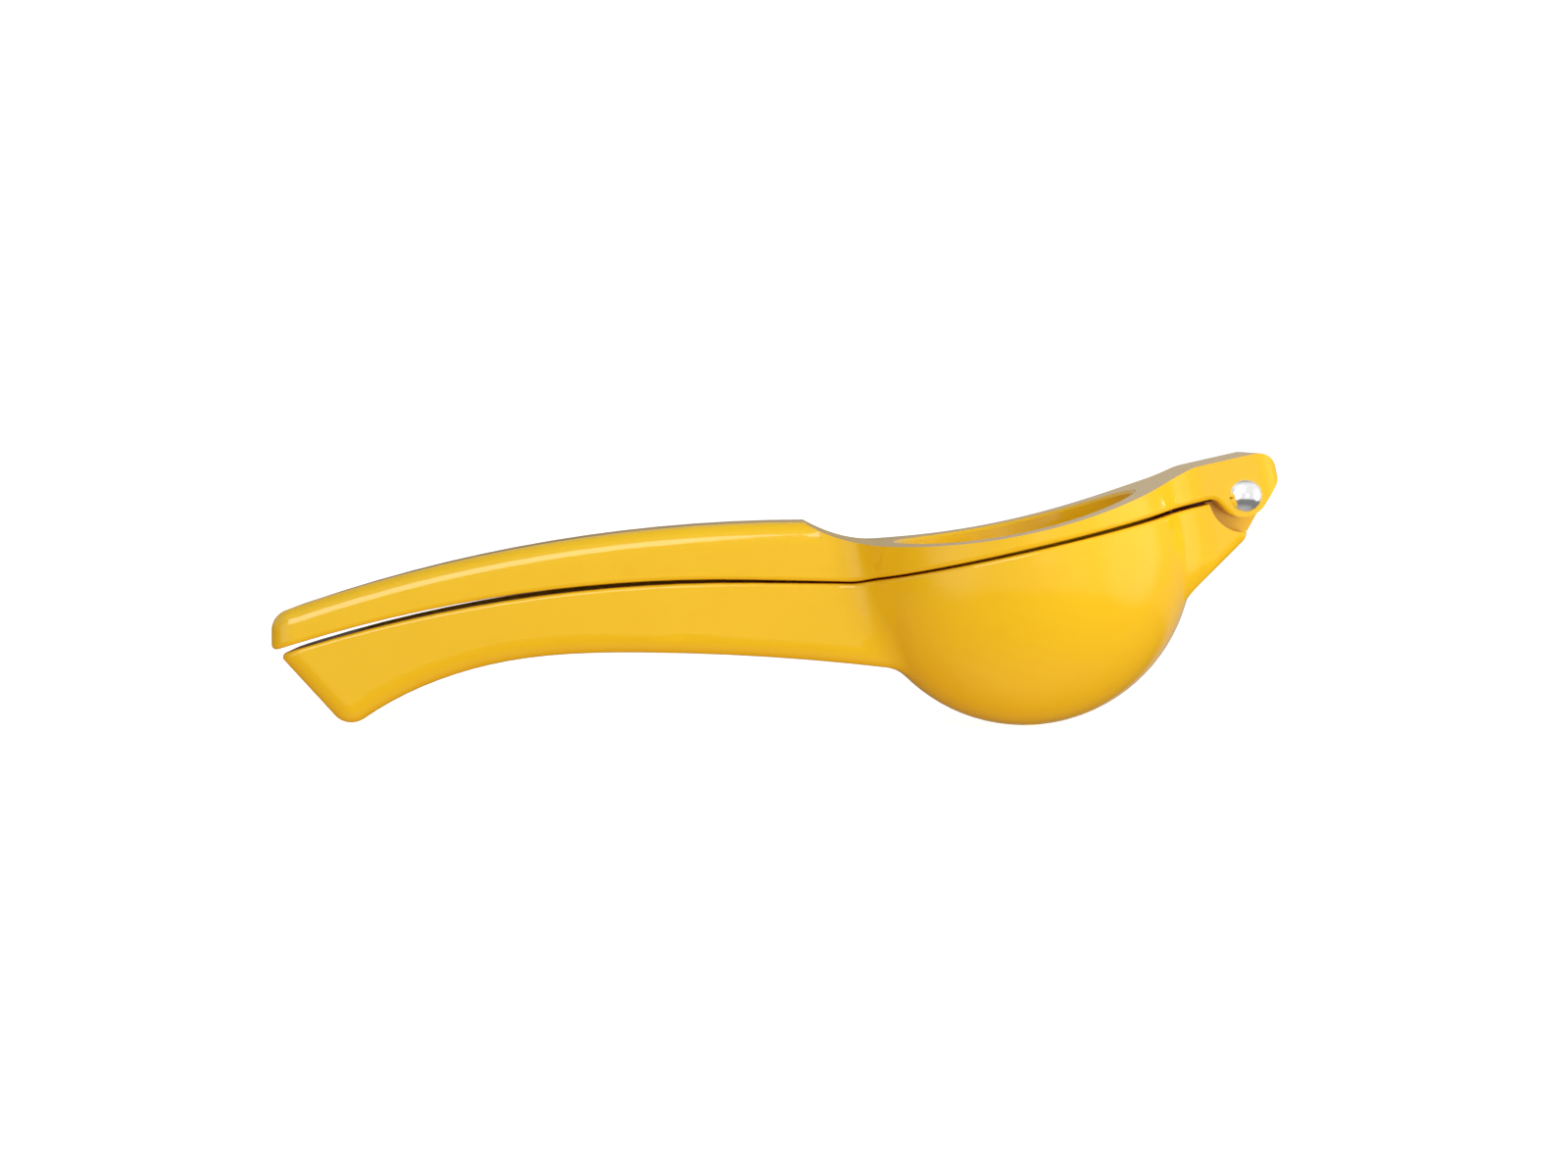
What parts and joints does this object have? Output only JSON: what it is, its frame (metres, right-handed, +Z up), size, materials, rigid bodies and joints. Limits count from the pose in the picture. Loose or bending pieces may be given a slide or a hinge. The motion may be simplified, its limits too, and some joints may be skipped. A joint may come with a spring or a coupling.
{
  "type": "lemon squeezer",
  "caption": "Hand lemon squeezer: perforated cup and hollow press dome on two long bowed handles, hinged at the far side of the bowl and closed face to face.",
  "frame": {"origin": "middle of the footprint's bounding box, on the plane the squeezer rests on", "axes": "+X from the handle ends towards the hinge, +Y across the handles and along the hinge rivet, +Z up; modelled closed, resting on the bowl and the heel of the lower handle"},
  "size_m": [0.213, 0.072, 0.059],
  "materials": {
    "cup_enamel": "gloss",
    "press_enamel": "gloss",
    "rivet": "satin"
  },
  "bodies": {
    "cup": {"cup_handle": "cup_enamel"},
    "press": {"press_handle": "press_enamel", "hinge_rivet": "rivet"}
  },
  "joints": [
    {"name": "press_hinge", "type": "hinge", "parent": "cup", "child": "press", "pos_m": [0.09935, 0, 0.05004], "axis": [0, 1, 0], "range_deg": [0, 105]}
  ]
}
